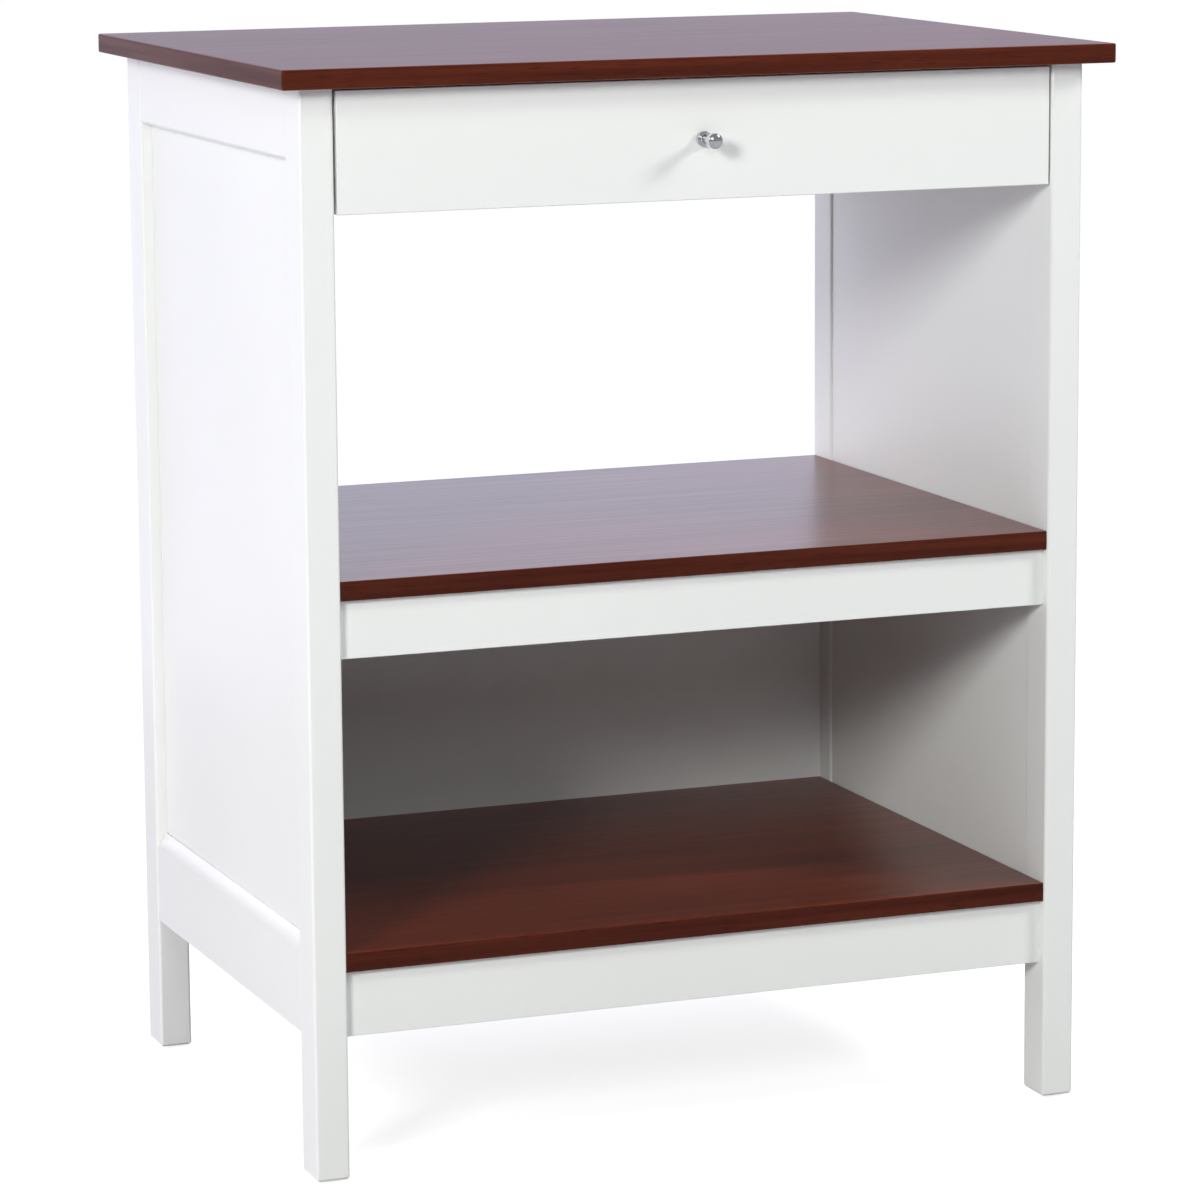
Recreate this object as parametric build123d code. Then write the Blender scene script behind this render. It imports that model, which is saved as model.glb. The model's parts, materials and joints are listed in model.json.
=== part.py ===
from build123d import *
import os

# Overall sizes in millimetres: X to the right, Y to the back, Z up from the floor
overall_height = 900.0
carcass_width = 680.0
carcass_depth = 484.0

# Worktop
top_thickness = 16.0
top_side_overhang = 20.0
top_front_overhang = 22.0
top_rear_overhang = 20.0
top_corner_radius = 3.0
top_edge_ease = 1.5

# Posts and their nail-on glides
post_width = 28.0
post_depth = 38.0
post_ease = 2.5
post_foot_ease = 2.0
glide_diameter = 18.0
glide_thickness = 2.5
glide_ease = 1.0
glide_nail_diameter = 2.2
glide_nail_length = 12.0

# Board stock of the panels, shelves, aprons, back panel, rear rail and drawer front
board_thickness = 16.0
board_ease = 1.0

# Sides: a full-height panel between the posts with applied rails on its outside
floor_clearance = 119.0
panel_recess = 10.0
rail_setback = 0.5
top_rail_height = 59.0
top_rail_bevel = 3.0
bottom_rail_height = 79.0
bottom_rail_bevel = 13.0
bottom_rail_land = 1.5

# Shelves, aprons and cleats
middle_shelf_height = 493.0
lower_shelf_height = 190.0
shelf_front_setback = 2.0
shelf_rear_setback = 4.0
shelf_side_clearance = 0.5
apron_recess = 9.0
middle_apron_height = 48.0
cleat_section = 16.0
rear_rail_height = 100.0

# Drawer box
drawer_drop = 100.0
drawer_gap = 2.5
drawer_side_thickness = 12.0
drawer_side_height = 66.0
drawer_side_lift = 16.0
drawer_bottom_thickness = 4.0
drawer_bottom_lift = 8.0
drawer_groove_depth = 4.0
drawer_groove_clearance = 0.2

# Knob and its screw
knob_projection = 28.0
knob_base_diameter = 13.0
knob_base_thickness = 4.0
knob_neck_diameter = 6.5
knob_head_diameter = 12.5
knob_head_length = 9.0
knob_ease = 1.2
knob_dome = 2.0
knob_screw_diameter = 4.0
knob_screw_depth = 9.0
knob_screw_head_diameter = 8.0
knob_screw_head_thickness = 2.6

# Drawer runners: a channel on each bearer and a folded strip under each drawer side
bearer_thickness = 12.0
bearer_height = 56.0
bearer_margin = 6.0
drawer_rear_clearance = 51.0
runner_front_gap = 1.0
runner_space = 12.5
runner_sheet = 1.2
runner_bend = 0.6
channel_lip = 9.4
channel_drop = 1.0
channel_headroom = 1.0
strip_foot = 9.0
strip_flange = 8.5

# Rollers and the rivets that they turn on
roller_diameter = 20.0
roller_width = 6.6
roller_ease = 0.8
roller_dish_depth = 1.0
roller_rim = 2.4
roller_hub_diameter = 9.0
roller_inset = 13.0
roller_gap = 0.2
roller_flange_gap = 0.6
roller_end_play = 0.15
rivet_diameter = 5.0
rivet_running_clearance = 0.05
rivet_shoulder_diameter = 8.0
rivet_head_diameter = 8.5
rivet_head_thickness = 0.8

# Countersunk wood screws
screw_diameter = 3.5
screw_head_diameter = 7.0
screw_tip = 3.0
screw_tip_diameter = 1.0
runner_screw_length = 12.0
runner_screw_first = 37.0
runner_screw_last = 139.0
strip_screw_offset = 4.0
bearer_screw_length = 33.0
bearer_screw_offset = 8.0
bearer_screw_pitch = 10.0
bracket_screw_length = 14.0
cleat_screw_length = 27.0
shelf_screw_length = 25.0
back_screw_length = 45.0
drawer_screw_length = 30.0

# Dowels and cam fittings
dowel_diameter = 8.0
drawer_dowel_diameter = 6.0
dowel_length = 30.0
dowel_post_depth = 13.0
dowel_end_gap = 1.0
cam_diameter = 15.0
cam_depth = 12.5
drawer_cam_diameter = 12.0
drawer_cam_depth = 9.5
cam_reach = 24.0
cam_bolt_diameter = 6.0
cam_bolt_post_depth = 12.0
fitting_clearance = 0.05

# Worktop brackets
bracket_leg = 24.0
bracket_width = 20.0
bracket_sheet = 2.0
bracket_bend = 1.0

# Places as shares of the piece that they sit on
knob_height_share = 0.5
side_dowel_shares = (0.05, 0.36, 0.67, 0.97)
bracket_shares = (0.22, 0.78)
cleat_screw_shares = (0.08, 0.5, 0.92)
shelf_screw_shares = (0.28, 0.72)
back_screw_shares = (0.14, 0.5, 0.86)
apron_dowel_share = 0.27
apron_cam_share = 0.68
rear_dowel_share = 0.3
rear_cam_share = 0.7
back_dowel_shares = (0.32, 0.68)
back_cam_shares = (0.08, 0.92)
drawer_dowel_shares = (0.4, 0.9)
drawer_cam_share = 0.65
drawer_screw_shares = (0.45, 0.85)

# How far a cut runs past the face that it opens
overrun = 1.0

# Carcass faces
top_under = overall_height - top_thickness
front_reach = max(top_front_overhang, knob_projection)
front_y = (front_reach - carcass_depth - top_rear_overhang) / 2
back_y = front_y + carcass_depth
post_out_x = carcass_width / 2
post_in_x = post_out_x - post_width
front_post_back_y = front_y + post_depth
rear_post_front_y = back_y - post_depth
panel_out_x = post_out_x - panel_recess
panel_in_x = panel_out_x - board_thickness
rail_out_x = post_out_x - rail_setback
back_panel_y = back_y - board_thickness
apron_y = front_y + apron_recess
apron_back_y = apron_y + board_thickness
middle_shelf_under = middle_shelf_height - board_thickness
lower_shelf_under = lower_shelf_height - board_thickness
side_height = top_under - floor_clearance

# Drawer faces
drawer_front_bottom = top_under - drawer_drop
drawer_front_top = top_under - drawer_gap
drawer_front_back_y = front_y + board_thickness
drawer_side_bottom = drawer_front_bottom + drawer_side_lift
drawer_side_top = drawer_side_bottom + drawer_side_height
bearer_in_x = post_in_x - bearer_thickness
drawer_out_x = bearer_in_x - runner_space
drawer_in_x = drawer_out_x - drawer_side_thickness
runner_front_y = drawer_front_back_y + runner_front_gap
runner_back_y = back_panel_y - drawer_rear_clearance
drawer_back_front_y = runner_back_y - drawer_side_thickness
drawer_bottom_under = drawer_side_bottom + drawer_bottom_lift
drawer_bottom_top = drawer_bottom_under + drawer_bottom_thickness
knob_z = drawer_front_bottom + knob_height_share * (drawer_front_top - drawer_front_bottom)

# Runner levels, from the track up: rear roller, drawer flange, upper lip of the channel
roller_radius = roller_diameter / 2
track_z = drawer_side_bottom - channel_drop
rear_roller_z = track_z + roller_gap + roller_radius
flange_under = rear_roller_z + roller_radius + roller_flange_gap
flange_top = flange_under + runner_sheet
front_roller_z = flange_under - roller_gap - roller_radius
channel_bottom = track_z - runner_sheet
channel_top = flange_top + channel_headroom + runner_sheet
front_roller_y = runner_front_y + roller_inset
rear_roller_y = runner_back_y - roller_inset
roller_web_gap = (runner_space - runner_sheet * 2 - roller_width) / 2
bearer_bottom = channel_bottom - bearer_margin
bearer_top = bearer_bottom + bearer_height

right = Vector(1, 0, 0)
left = Vector(-1, 0, 0)
back = Vector(0, 1, 0)
front = Vector(0, -1, 0)
up = Vector(0, 0, 1)


# Basic forms

def block(xs, ys, zs):
    sizes = [max(ends) - min(ends) for ends in (xs, ys, zs)]
    return Pos(min(xs), min(ys), min(zs)) * Box(*sizes, align=(Align.MIN,) * 3)


def rod(diameter, start, direction, length):
    seat = Plane(origin=start, z_dir=direction)
    return seat * Cylinder(diameter / 2, length, align=(Align.CENTER, Align.CENTER, Align.MIN))


def turned(outline, start, direction):
    face = make_face((Plane.XZ * outline).edges())
    return Plane(origin=start, z_dir=direction) * revolve(face, axis=Axis.Z)


def along_y(profile, ys):
    return Pos(0, max(ys), 0) * extrude(Plane.XZ * profile, amount=max(ys) - min(ys))


def mirrored(shape):
    return mirror(shape, about=Plane.YZ)


def share_of(ends, share):
    return ends[0] + share * (ends[1] - ends[0])


# Fasteners: each returns its solid, and notes the hole that it needs

holes = []


def both_sides(shapes):
    return shapes + [mirrored(shape) for shape in shapes]


def screw(start, direction, length):
    head = screw_head_diameter / 2
    shank = screw_diameter / 2
    outline = Polyline(
        (0, 0),
        (head, 0),
        (shank, head - shank),
        (shank, length - screw_tip),
        (screw_tip_diameter / 2, length),
        (0, length),
        close=True,
    )
    solid = turned(outline, start, direction)
    holes.extend(both_sides([solid]))
    return solid


def dowel(diameter, face_point, into_board):
    start = face_point - into_board * dowel_post_depth
    hole_start = start - into_board * dowel_end_gap
    hole_length = dowel_length + dowel_end_gap * 2
    hole = rod(diameter + fitting_clearance * 2, hole_start, into_board, hole_length)
    holes.extend(both_sides([hole]))
    return rod(diameter, start, into_board, dowel_length)


def cam_fitting(face_point, into_board, to_face, thickness, diameter, depth):
    bolt_start = face_point - into_board * cam_bolt_post_depth
    bolt = rod(cam_bolt_diameter, bolt_start, into_board, cam_bolt_post_depth + cam_reach)
    bolt_hole = rod(
        cam_bolt_diameter + fitting_clearance * 2,
        bolt_start,
        into_board,
        cam_bolt_post_depth + cam_reach + dowel_end_gap,
    )
    nut_face = face_point + into_board * cam_reach + to_face * (thickness / 2)
    nut = rod(diameter, nut_face, to_face * -1, depth) - bolt_hole
    nut_hole = rod(diameter + fitting_clearance * 2, nut_face, to_face * -1, depth)
    holes.extend(both_sides([bolt_hole, nut_hole]))
    return bolt, nut


def drilled(piece):
    box = piece.bounding_box()
    reaching = [hole for hole in holes if boxes_meet(box, hole.bounding_box())]
    return piece - reaching if reaching else piece


def boxes_meet(one, other):
    return all(
        low < high
        for low, high in (
            (one.min.X, other.max.X),
            (other.min.X, one.max.X),
            (one.min.Y, other.max.Y),
            (other.min.Y, one.max.Y),
            (one.min.Z, other.max.Z),
            (other.min.Z, one.max.Z),
        )
    )


# Carcass boards

def worktop():
    half = post_out_x + top_side_overhang
    board = block(
        (-half, half),
        (front_y - top_front_overhang, back_y + top_rear_overhang),
        (top_under, overall_height),
    )
    board = fillet(board.edges().filter_by(Axis.Z), top_corner_radius)
    level = board.faces().filter_by(Axis.Z)
    return fillet(level.edges(), top_edge_ease)


def post(ys):
    stick = block((post_in_x, post_out_x), ys, (glide_thickness, top_under))
    stick = fillet(stick.edges().filter_by(Axis.Z), post_ease)
    return chamfer(stick.faces().sort_by(Axis.Z)[0].edges(), post_foot_ease)


def glide(y):
    disc = glide_diameter / 2
    nail = glide_nail_diameter / 2
    tip = glide_thickness + glide_nail_length
    outline = Polyline(
        (0, 0),
        (disc - glide_ease, 0),
        (disc, glide_ease),
        (disc, glide_thickness),
        (nail, glide_thickness),
        (nail, tip),
        (0, tip),
        close=True,
    )
    solid = turned(outline, Vector(post_in_x + post_width / 2, y, 0), up)
    holes.extend(both_sides([solid]))
    return solid


def side_panel():
    ys = (front_post_back_y, rear_post_front_y)
    return block((panel_in_x, panel_out_x), ys, (floor_clearance, top_under))


def top_rail():
    low = top_under - top_rail_height
    outline = Polyline(
        (panel_out_x, low),
        (rail_out_x - top_rail_bevel, low),
        (rail_out_x, low + top_rail_bevel),
        (rail_out_x, top_under),
        (panel_out_x, top_under),
        close=True,
    )
    return along_y(make_face(outline), (front_post_back_y, rear_post_front_y))


def bottom_rail():
    high = floor_clearance + bottom_rail_height
    outline = Polyline(
        (panel_out_x, floor_clearance),
        (rail_out_x, floor_clearance),
        (rail_out_x, high - bottom_rail_bevel),
        (panel_out_x + bottom_rail_land, high),
        (panel_out_x, high),
        close=True,
    )
    return along_y(make_face(outline), (front_post_back_y, rear_post_front_y))


def shelf(height, rear_y):
    half = post_in_x - shelf_side_clearance
    board = block(
        (-half, half),
        (front_y + shelf_front_setback, rear_y),
        (height - board_thickness, height),
    )
    nose = board.faces().sort_by(Axis.Y)[0].edges().filter_by(Axis.X)
    return fillet(nose, board_ease)


def apron(zs):
    return block((-post_in_x, post_in_x), (apron_y, apron_back_y), zs)


def rear_board(zs):
    return block((-post_in_x, post_in_x), (back_panel_y, back_y), zs)


def cleat(shelf_under):
    return block(
        (panel_in_x - cleat_section, panel_in_x),
        (front_post_back_y, rear_post_front_y),
        (shelf_under - cleat_section, shelf_under),
    )


def bracket(y):
    path = FilletPolyline(
        (panel_in_x, top_under - bracket_leg),
        (panel_in_x, top_under),
        (panel_in_x - bracket_leg, top_under),
        radius=bracket_bend + bracket_sheet,
    )
    profile = make_face(offset(path, amount=bracket_sheet, side=Side.LEFT))
    half = bracket_width / 2
    return along_y(profile, (y - half, y + half))


# Drawer boards

def drawer_front():
    half = post_in_x - drawer_gap
    board = block(
        (-half, half), (front_y, drawer_front_back_y), (drawer_front_bottom, drawer_front_top)
    )
    board = fillet(board.faces().sort_by(Axis.Y)[0].edges(), board_ease)
    reach = drawer_in_x + drawer_groove_depth
    groove_ys = (drawer_front_back_y - drawer_groove_depth, drawer_front_back_y + overrun)
    return board - bottom_groove((-reach, reach), groove_ys)


def bottom_groove(xs, ys):
    zs = (drawer_bottom_under - drawer_groove_clearance, drawer_bottom_top + drawer_groove_clearance)
    return block(xs, ys, zs)


def drawer_side():
    ys = (drawer_front_back_y, runner_back_y)
    board = block((drawer_in_x, drawer_out_x), ys, (drawer_side_bottom, drawer_side_top))
    board = fillet(board.edges().filter_by(Axis.Y), board_ease)
    groove_ys = (drawer_front_back_y - overrun, runner_back_y + overrun)
    return board - bottom_groove((drawer_in_x - overrun, drawer_in_x + drawer_groove_depth), groove_ys)


def drawer_back():
    ys = (drawer_back_front_y, runner_back_y)
    board = block((-drawer_in_x, drawer_in_x), ys, (drawer_side_bottom, drawer_side_top))
    board = fillet(board.edges().filter_by(Axis.X), board_ease)
    reach = drawer_in_x + overrun
    groove_ys = (drawer_back_front_y - overrun, drawer_back_front_y + drawer_groove_depth)
    return board - bottom_groove((-reach, reach), groove_ys)


def drawer_bottom():
    tongue = drawer_groove_depth - drawer_groove_clearance
    half = drawer_in_x + tongue
    ys = (drawer_front_back_y - tongue, drawer_back_front_y + tongue)
    return block((-half, half), ys, (drawer_bottom_under, drawer_bottom_top))


def knob():
    base = knob_base_diameter / 2
    neck = knob_neck_diameter / 2
    head = knob_head_diameter / 2
    head_start = knob_projection - knob_head_length
    rim = knob_projection - knob_dome
    dome_radius = (head * head + knob_dome * knob_dome) / (knob_dome * 2)
    outline = Curve() + [
        Polyline((0, knob_projection), (0, 0), (base, 0)),
        FilletPolyline(
            (base, 0),
            (base, knob_base_thickness),
            (neck, knob_base_thickness),
            (neck, head_start),
            (head, head_start),
            (head, rim),
            radius=knob_ease,
        ),
        RadiusArc((head, rim), (0, knob_projection), -dome_radius),
    ]
    return turned(outline, Vector(0, front_y, knob_z), front)


def knob_screw():
    head = knob_screw_head_diameter / 2
    shank = knob_screw_diameter / 2
    length = knob_screw_head_thickness + board_thickness + knob_screw_depth
    outline = Polyline(
        (0, 0),
        (head - knob_ease, 0),
        (head, knob_ease),
        (head, knob_screw_head_thickness),
        (shank, knob_screw_head_thickness),
        (shank, length),
        (0, length),
        close=True,
    )
    start = Vector(0, drawer_front_back_y + knob_screw_head_thickness, knob_z)
    solid = turned(outline, start, front)
    holes.append(solid)
    return solid


# Running gear

def bearer():
    ys = (runner_front_y, back_panel_y - runner_front_gap)
    return block((bearer_in_x, post_in_x), ys, (bearer_bottom, bearer_top))


def channel():
    path = FilletPolyline(
        (bearer_in_x - channel_lip, channel_bottom),
        (bearer_in_x, channel_bottom),
        (bearer_in_x, channel_top),
        (bearer_in_x - channel_lip, channel_top),
        radius=runner_bend + runner_sheet,
    )
    profile = make_face(offset(path, amount=runner_sheet, side=Side.LEFT))
    return along_y(profile, (runner_front_y, runner_back_y))


def strip():
    flange_end = drawer_out_x + strip_flange
    path = FilletPolyline(
        (drawer_out_x - strip_foot, drawer_side_bottom),
        (drawer_out_x, drawer_side_bottom),
        (drawer_out_x, flange_top),
        (flange_end, flange_top),
        radius=(runner_bend, runner_bend + runner_sheet),
    )
    profile = make_face(offset(path, amount=runner_sheet, side=Side.RIGHT))
    return along_y(profile, (runner_front_y, runner_back_y))


def roller(centre):
    outer = roller_diameter / 2
    bore = rivet_diameter / 2 + rivet_running_clearance
    hub = roller_hub_diameter / 2
    dish = outer - roller_rim
    half = roller_width / 2
    dished = half - roller_dish_depth
    outline = Polyline(
        (bore, -half),
        (hub, -half),
        (hub, -dished),
        (dish, -dished),
        (dish, -half),
        (outer - roller_ease, -half),
        (outer, roller_ease - half),
        (outer, half - roller_ease),
        (outer - roller_ease, half),
        (dish, half),
        (dish, dished),
        (hub, dished),
        (hub, half),
        (bore, half),
        close=True,
    )
    return turned(outline, centre, right)


def rivet(web_face, direction):
    shank = rivet_diameter / 2
    shoulder = rivet_shoulder_diameter / 2
    head = rivet_head_diameter / 2
    shoulder_end = runner_sheet + roller_web_gap - roller_end_play
    head_start = runner_sheet + roller_web_gap + roller_width + roller_end_play
    outline = Polyline(
        (0, 0),
        (shank, 0),
        (shank, runner_sheet),
        (shoulder, runner_sheet),
        (shoulder, shoulder_end),
        (shank, shoulder_end),
        (shank, head_start),
        (head, head_start),
        (head, head_start + rivet_head_thickness),
        (0, head_start + rivet_head_thickness),
        close=True,
    )
    solid = turned(outline, web_face, direction)
    holes.extend(both_sides([rod(rivet_diameter, web_face, direction, runner_sheet)]))
    return solid


# Pieces by name; what stands on the right is mirrored for the left
pieces = {}


def pair(name, shape):
    pieces["left_" + name] = mirrored(shape)
    pieces["right_" + name] = shape


pieces["worktop"] = worktop()
for place, ys in (
    ("front", (front_y, front_post_back_y)),
    ("rear", (rear_post_front_y, back_y)),
):
    stick = post(ys)
    pieces[place + "_left_post"] = mirrored(stick)
    pieces[place + "_right_post"] = stick
pair("side_panel", side_panel())
pair("top_rail", top_rail())
pair("bottom_rail", bottom_rail())
pieces["rear_top_rail"] = rear_board((top_under - rear_rail_height, top_under))
pieces["back_panel"] = rear_board((floor_clearance, middle_shelf_under))
pieces["middle_shelf"] = shelf(middle_shelf_height, back_y - shelf_rear_setback)
pieces["lower_shelf"] = shelf(lower_shelf_height, back_panel_y)
middle_apron_zs = (middle_shelf_under - middle_apron_height, middle_shelf_under)
lower_apron_zs = (floor_clearance, lower_shelf_under)
pieces["middle_apron"] = apron(middle_apron_zs)
pieces["lower_apron"] = apron(lower_apron_zs)
pair("middle_cleat", cleat(middle_shelf_under))
pair("lower_cleat", cleat(lower_shelf_under))
pair("runner_bearer", bearer())
pair("cabinet_runner", channel())
pieces["drawer_front"] = drawer_front()
pair("drawer_side", drawer_side())
pieces["drawer_back"] = drawer_back()
pieces["drawer_bottom"] = drawer_bottom()
pair("drawer_runner", strip())
pieces["knob"] = knob()

# Rollers and rivets
front_axle = Vector(bearer_in_x, front_roller_y, front_roller_z)
rear_axle = Vector(drawer_out_x, rear_roller_y, rear_roller_z)
roller_reach = runner_sheet + roller_web_gap + roller_width / 2
rollers = {}
rollers["front_right_roller"] = roller(front_axle + left * roller_reach)
rollers["front_left_roller"] = mirrored(rollers["front_right_roller"])
rollers["rear_right_roller"] = roller(rear_axle + right * roller_reach)
rollers["rear_left_roller"] = mirrored(rollers["rear_right_roller"])
groups = {}
groups["front_roller_rivets"] = both_sides([rivet(front_axle, left)])
groups["rear_roller_rivets"] = both_sides([rivet(rear_axle, right)])

# Glides under the posts
post_middles = (front_y + post_depth / 2, back_y - post_depth / 2)
groups["foot_glides"] = both_sides([glide(y) for y in post_middles])

# Dowels that join the side panels to the posts
panel_x = (panel_in_x + panel_out_x) / 2
side_zs = [floor_clearance + share * side_height for share in side_dowel_shares]
groups["side_dowels"] = both_sides(
    [dowel(dowel_diameter, Vector(panel_x, front_post_back_y, z), back) for z in side_zs]
    + [dowel(dowel_diameter, Vector(panel_x, rear_post_front_y, z), front) for z in side_zs]
)

# Dowels and cam fittings of the cross boards: aprons, rear rail and back panel
apron_middle = (apron_y + apron_back_y) / 2
rear_middle = (back_panel_y + back_y) / 2
rear_rail_zs = (top_under - rear_rail_height, top_under)
back_panel_zs = (floor_clearance, middle_shelf_under)
cross_joints = (
    (middle_apron_zs, apron_middle, back, (apron_dowel_share,), (apron_cam_share,)),
    (lower_apron_zs, apron_middle, back, (apron_dowel_share,), (apron_cam_share,)),
    (rear_rail_zs, rear_middle, front, (rear_dowel_share,), (rear_cam_share,)),
    (back_panel_zs, rear_middle, front, back_dowel_shares, back_cam_shares),
)
cross_dowels = []
cam_bolts = []
cam_nuts = []
for zs, y, nut_side, dowel_shares, cam_shares in cross_joints:
    for share in dowel_shares:
        cross_dowels.append(dowel(dowel_diameter, Vector(post_in_x, y, share_of(zs, share)), left))
    for share in cam_shares:
        end = Vector(post_in_x, y, share_of(zs, share))
        bolt, nut = cam_fitting(end, left, nut_side, board_thickness, cam_diameter, cam_depth)
        cam_bolts.append(bolt)
        cam_nuts.append(nut)
groups["cross_dowels"] = both_sides(cross_dowels)
groups["cam_bolts"] = both_sides(cam_bolts)
groups["cam_nuts"] = both_sides(cam_nuts)

# Brackets under the worktop and their screws
side_ys = (front_post_back_y, rear_post_front_y)
bracket_ys = [share_of(side_ys, share) for share in bracket_shares]
groups["worktop_brackets"] = both_sides([bracket(y) for y in bracket_ys])
bracket_middle = (bracket_leg + bracket_sheet) / 2
bracket_side_x = panel_in_x - bracket_sheet
bracket_top_z = top_under - bracket_sheet
bracket_screws = []
for y in bracket_ys:
    side_start = Vector(bracket_side_x, y, top_under - bracket_middle)
    top_start = Vector(panel_in_x - bracket_middle, y, bracket_top_z)
    bracket_screws.append(screw(side_start, right, bracket_screw_length))
    bracket_screws.append(screw(top_start, up, bracket_screw_length))
groups["bracket_screws"] = both_sides(bracket_screws)

# Screws of the cleats, sideways into the panel and up into the shelf
cleat_in_x = panel_in_x - cleat_section
cleat_middle_x = panel_in_x - cleat_section / 2
cleat_screws = []
for shelf_under in (middle_shelf_under, lower_shelf_under):
    for share in cleat_screw_shares:
        start = Vector(cleat_in_x, share_of(side_ys, share), shelf_under - cleat_section / 2)
        cleat_screws.append(screw(start, right, cleat_screw_length))
    for share in shelf_screw_shares:
        start = Vector(cleat_middle_x, share_of(side_ys, share), shelf_under - cleat_section)
        cleat_screws.append(screw(start, up, shelf_screw_length))
groups["cleat_screws"] = both_sides(cleat_screws)

# Screws through the back panel into the rear edge of the lower shelf
shelf_middle_z = lower_shelf_height - board_thickness / 2
back_screw_xs = [share_of((-post_in_x, post_in_x), share) for share in back_screw_shares]
groups["back_panel_screws"] = [
    screw(Vector(x, back_y, shelf_middle_z), front, back_screw_length) for x in back_screw_xs
]

# Screws of the bearers, the cabinet runners and the drawer runners
bearer_back_y = back_panel_y - runner_front_gap
bearer_screw_ys = (
    (runner_front_y + front_post_back_y) / 2,
    (rear_post_front_y + bearer_back_y) / 2,
)
bearer_screw_z = channel_top + bearer_screw_offset
bearer_screws = []
for y in bearer_screw_ys:
    for z in (bearer_screw_z, bearer_screw_z + bearer_screw_pitch):
        bearer_screws.append(screw(Vector(bearer_in_x, y, z), right, bearer_screw_length))
groups["bearer_screws"] = both_sides(bearer_screws)
runner_screw_ys = (runner_front_y + runner_screw_first, runner_back_y - runner_screw_last)
channel_face_x = bearer_in_x - runner_sheet
channel_middle = (channel_bottom + channel_top) / 2
groups["cabinet_runner_screws"] = both_sides(
    [screw(Vector(channel_face_x, y, channel_middle), right, runner_screw_length) for y in runner_screw_ys]
)
strip_screw_x = drawer_out_x - strip_screw_offset
strip_under = drawer_side_bottom - runner_sheet
groups["drawer_runner_screws"] = both_sides(
    [screw(Vector(strip_screw_x, y, strip_under), up, runner_screw_length) for y in runner_screw_ys]
)

# Fittings of the drawer box
drawer_side_x = (drawer_in_x + drawer_out_x) / 2
drawer_side_zs = (drawer_side_bottom, drawer_side_top)
drawer_cam_z = share_of(drawer_side_zs, drawer_cam_share)
groups["drawer_dowels"] = both_sides(
    [
        dowel(
            drawer_dowel_diameter,
            Vector(drawer_side_x, drawer_front_back_y, share_of(drawer_side_zs, share)),
            back,
        )
        for share in drawer_dowel_shares
    ]
)
drawer_bolt, drawer_nut = cam_fitting(
    Vector(drawer_side_x, drawer_front_back_y, drawer_cam_z),
    back,
    left,
    drawer_side_thickness,
    drawer_cam_diameter,
    drawer_cam_depth,
)
groups["drawer_cam_bolts"] = both_sides([drawer_bolt])
groups["drawer_cam_nuts"] = both_sides([drawer_nut])
drawer_back_middle = (drawer_back_front_y + runner_back_y) / 2
groups["drawer_back_screws"] = both_sides(
    [
        screw(
            Vector(drawer_out_x, drawer_back_middle, share_of(drawer_side_zs, share)),
            left,
            drawer_screw_length,
        )
        for share in drawer_screw_shares
    ]
)
groups["knob_screw"] = [knob_screw()]

# Every board, runner and bracket is drilled for the fasteners that reach into it
pieces = {name: drilled(shape) for name, shape in pieces.items()}
groups["worktop_brackets"] = [drilled(shape) for shape in groups["worktop_brackets"]]

os.makedirs("parts", exist_ok=True)
for name, shape in {**pieces, **rollers}.items():
    export_step(shape, "parts/" + name + ".step")
for name, solids in groups.items():
    export_step(Compound(children=solids), "parts/" + name + ".step")
print(len(pieces) + len(rollers) + len(groups), "nodes")
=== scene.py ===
import bmesh
import bpy
import json
import math
from mathutils import Matrix, Vector


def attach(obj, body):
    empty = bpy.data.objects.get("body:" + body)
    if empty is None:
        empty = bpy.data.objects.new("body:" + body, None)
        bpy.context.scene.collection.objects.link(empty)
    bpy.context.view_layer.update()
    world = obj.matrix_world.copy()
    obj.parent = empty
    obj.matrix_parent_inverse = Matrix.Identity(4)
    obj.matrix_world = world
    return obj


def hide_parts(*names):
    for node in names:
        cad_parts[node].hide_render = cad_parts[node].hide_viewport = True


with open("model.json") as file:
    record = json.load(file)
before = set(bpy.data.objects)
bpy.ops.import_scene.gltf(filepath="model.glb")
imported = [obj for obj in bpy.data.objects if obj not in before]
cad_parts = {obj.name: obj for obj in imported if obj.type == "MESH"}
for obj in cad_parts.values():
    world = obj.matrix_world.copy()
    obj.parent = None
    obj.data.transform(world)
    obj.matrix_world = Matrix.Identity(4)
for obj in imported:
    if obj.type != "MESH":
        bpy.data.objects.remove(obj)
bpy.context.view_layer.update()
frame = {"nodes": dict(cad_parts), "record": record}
nodes = frame["nodes"]
scene = bpy.context.scene
scene.view_settings.view_transform = "Standard"
mm = 0.001
print("frame loaded:", len(nodes), "nodes")


def hexColour(code):  # sRGB hex to linear RGBA
    parts = [int(code[i:i + 2], 16) / 255 for i in (1, 3, 5)]
    return [c / 12.92 if c <= 0.04045 else ((c + 0.055) / 1.055) ** 2.4 for c in parts] + [1.0]


def addNode(tree, kind, sockets=None, stops=None, **settings):  # a node, its settings, its values and links
    node = tree.nodes.new(kind)
    for name, value in settings.items():
        setattr(node, name, value)
    for key, value in (sockets or {}).items():
        several = isinstance(value, list) and isinstance(value[0], bpy.types.NodeSocket)
        for source in value if several else [value]:
            if isinstance(source, bpy.types.NodeSocket):
                tree.links.new(source, node.inputs[key])
            else:
                node.inputs[key].default_value = source
    for place, (position, code) in enumerate(stops or []):
        ramp = node.color_ramp.elements
        stop = ramp[place] if place < 2 else ramp.new(position)  # a new ramp has two stops
        stop.position, stop.color = position, hexColour(code)
    return node


def newMaterial(name):
    material = bpy.data.materials.new(name)
    material.use_nodes = True
    material.node_tree.nodes.clear()
    return material, material.node_tree


def perMetre(width):  # texture scale whose features are about that many millimetres wide
    return 1 / (width * mm)


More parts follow.
